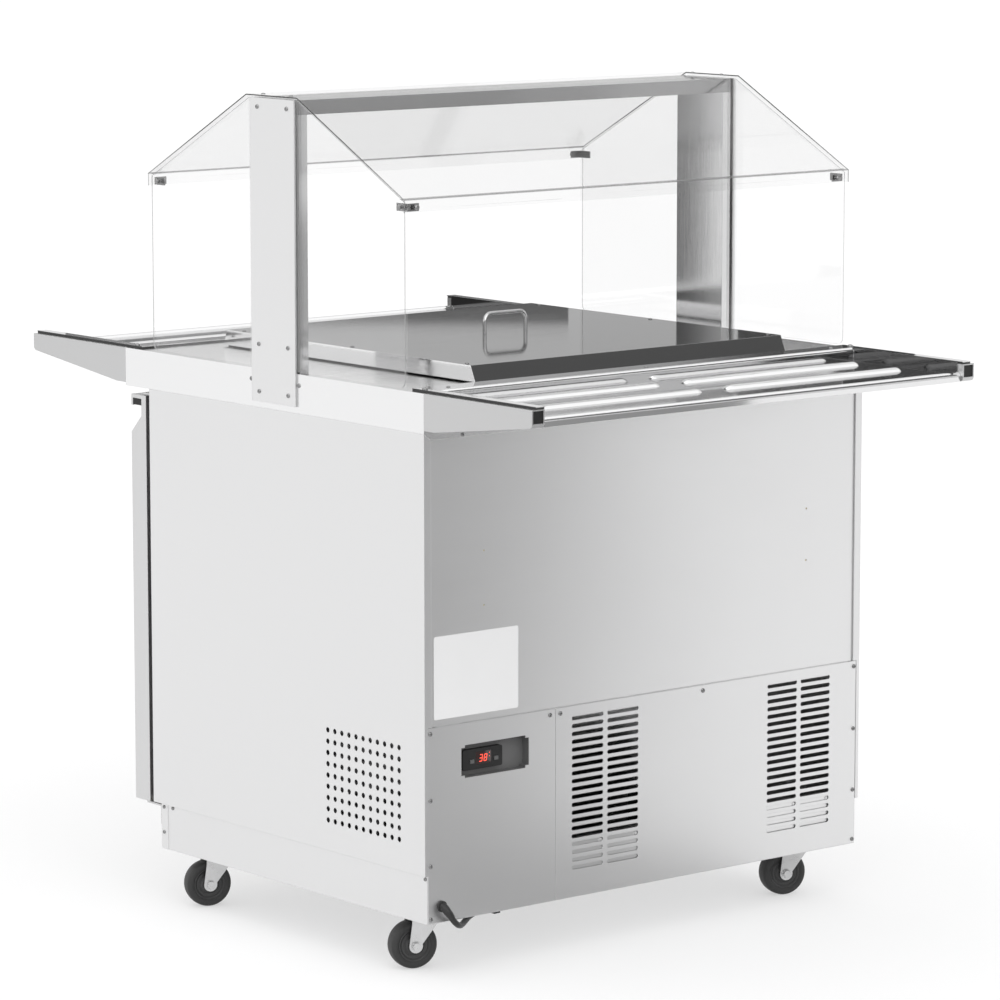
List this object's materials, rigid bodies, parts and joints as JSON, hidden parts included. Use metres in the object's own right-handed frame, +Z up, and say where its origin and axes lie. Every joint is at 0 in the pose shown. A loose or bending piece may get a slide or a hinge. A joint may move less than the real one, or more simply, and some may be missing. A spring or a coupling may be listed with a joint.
{
  "type": "mobile salad bar",
  "caption": "Refrigerated salad bar on castors with a lidded food well, clear breath guard, tray slides on both long sides, louvred machine space and two hinged doors.",
  "frame": {"origin": "centre of the bounding box's underside, where the wheels stand on the floor", "axes": "+X along the worktop, +Y from the operator's side towards the doors, +Z up"},
  "size_m": [0.9254, 1.305, 1.3472],
  "materials": {
    "steel": "satin",
    "panel": "satin",
    "mirror_steel": "polished",
    "liner": "satin",
    "foam": "matte",
    "clear": "clear",
    "black_plastic": "matte",
    "grey_plastic": "matte",
    "gasket": "matte",
    "cord": "matte",
    "wire": "gloss",
    "zinc": "satin",
    "black_paint": "gloss",
    "fins": "satin",
    "tyre": "matte"
  },
  "bodies": {
    "cabinet": {"worktop": "steel", "liner": "liner", "insulation": "foam", "end_panels": "panel", "back_panel": "panel", "control_cover": "panel", "vent_cover": "panel", "base_frame": "panel", "divider_bar": "steel", "shelf_rails": "steel", "shelf": "wire", "hinge_brackets": "zinc", "tray_slides": "mirror_steel", "slide_gaskets": "gasket", "slide_brackets": "panel", "bracket_caps": "black_plastic", "guard_frame": "steel", "guard_plates": "panel", "canopy": "clear", "end_panes": "clear", "pane_clips": "zinc", "guard_screws": "zinc", "panel_screws": "zinc", "controller_pocket": "black_plastic", "controller": "black_plastic", "cord_guides": "gasket", "cord": "cord", "cord_coil": "cord", "plug": "cord", "compressor": "black_paint", "condenser": "fins", "fan_shroud": "zinc", "evaporator": "fins", "castor_plates": "zinc"},
    "door_left": {"door_left": "panel", "door_gasket_left": "gasket", "handle_plugs_left": "black_plastic"},
    "door_right": {"door_right": "panel", "door_gasket_right": "gasket", "handle_plugs_right": "black_plastic"},
    "lid": {"lid": "mirror_steel", "lid_handle": "mirror_steel", "lid_feet": "black_plastic", "lid_screws": "zinc"},
    "pan_third_1": {"pan_third_1": "steel"},
    "pan_third_2": {"pan_third_2": "steel"},
    "pan_third_3": {"pan_third_3": "steel"},
    "pan_half_long": {"pan_half_long": "steel"},
    "key_left": {"controller_key_left": "grey_plastic"},
    "key_right": {"controller_key_right": "grey_plastic"},
    "fan": {"fan_blade": "black_plastic"},
    "evaporator_fan": {"evaporator_fan": "black_plastic"},
    "fork_1": {"castor_fork_1": "zinc"},
    "wheel_1": {"castor_wheel_1": "tyre"},
    "fork_2": {"castor_fork_2": "zinc"},
    "wheel_2": {"castor_wheel_2": "tyre"},
    "fork_3": {"castor_fork_3": "zinc"},
    "wheel_3": {"castor_wheel_3": "tyre"},
    "fork_4": {"castor_fork_4": "zinc"},
    "wheel_4": {"castor_wheel_4": "tyre"}
  },
  "joints": [
    {"name": "door_left_hinge", "type": "hinge", "parent": "cabinet", "child": "door_left", "pos_m": [-0.4435, 0.338, 0.5], "axis": [0, 0, 1], "range_deg": [0, 105]},
    {"name": "door_right_hinge", "type": "hinge", "parent": "cabinet", "child": "door_right", "pos_m": [0.4435, 0.338, 0.5], "axis": [0, 0, -1], "range_deg": [0, 105]},
    {"name": "lid_lift", "type": "slide", "parent": "cabinet", "child": "lid", "axis": [0, 0, 1], "range_m": [0, 0.2]},
    {"name": "pan_third_1_lift", "type": "slide", "parent": "cabinet", "child": "pan_third_1", "axis": [0, 0, 1], "range_m": [0, 0.018]},
    {"name": "pan_third_2_lift", "type": "slide", "parent": "cabinet", "child": "pan_third_2", "axis": [0, 0, 1], "range_m": [0, 0.018]},
    {"name": "pan_third_3_lift", "type": "slide", "parent": "cabinet", "child": "pan_third_3", "axis": [0, 0, 1], "range_m": [0, 0.018]},
    {"name": "pan_half_long_lift", "type": "slide", "parent": "cabinet", "child": "pan_half_long", "axis": [0, 0, 1], "range_m": [0, 0.018]},
    {"name": "key_left_press", "type": "slide", "parent": "cabinet", "child": "key_left", "axis": [0, 1, 0], "range_m": [0, 0.0005], "stiffness_N_per_m": 1500},
    {"name": "key_right_press", "type": "slide", "parent": "cabinet", "child": "key_right", "axis": [0, 1, 0], "range_m": [0, 0.0005], "stiffness_N_per_m": 1500},
    {"name": "fan_spin", "type": "hinge", "parent": "cabinet", "child": "fan", "pos_m": [-0.372, -0.248, 0.237], "axis": [1, 0, 0], "continuous": true},
    {"name": "evaporator_fan_spin", "type": "hinge", "parent": "cabinet", "child": "evaporator_fan", "pos_m": [0, -0.299, 0.5315], "axis": [0, 1, 0], "continuous": true},
    {"name": "castor_swivel_1", "type": "hinge", "parent": "cabinet", "child": "fork_1", "pos_m": [-0.392, -0.31, 0.086], "axis": [0, 0, 1], "continuous": true},
    {"name": "castor_roll_1", "type": "hinge", "parent": "fork_1", "child": "wheel_1", "pos_m": [-0.40891, -0.30384, 0.038], "axis": [0.342, 0.9397, 0], "continuous": true},
    {"name": "castor_swivel_2", "type": "hinge", "parent": "cabinet", "child": "fork_2", "pos_m": [0.392, -0.31, 0.086], "axis": [0, 0, 1], "continuous": true},
    {"name": "castor_roll_2", "type": "hinge", "parent": "fork_2", "child": "wheel_2", "pos_m": [0.37509, -0.30384, 0.038], "axis": [0.342, 0.9397, 0], "continuous": true},
    {"name": "castor_swivel_3", "type": "hinge", "parent": "cabinet", "child": "fork_3", "pos_m": [-0.392, 0.232, 0.086], "axis": [0, 0, 1], "continuous": true},
    {"name": "castor_roll_3", "type": "hinge", "parent": "fork_3", "child": "wheel_3", "pos_m": [-0.40891, 0.23816, 0.038], "axis": [0.342, 0.9397, 0], "continuous": true},
    {"name": "castor_swivel_4", "type": "hinge", "parent": "cabinet", "child": "fork_4", "pos_m": [0.392, 0.232, 0.086], "axis": [0, 0, 1], "continuous": true},
    {"name": "castor_roll_4", "type": "hinge", "parent": "fork_4", "child": "wheel_4", "pos_m": [0.37509, 0.23816, 0.038], "axis": [0.342, 0.9397, 0], "continuous": true}
  ]
}
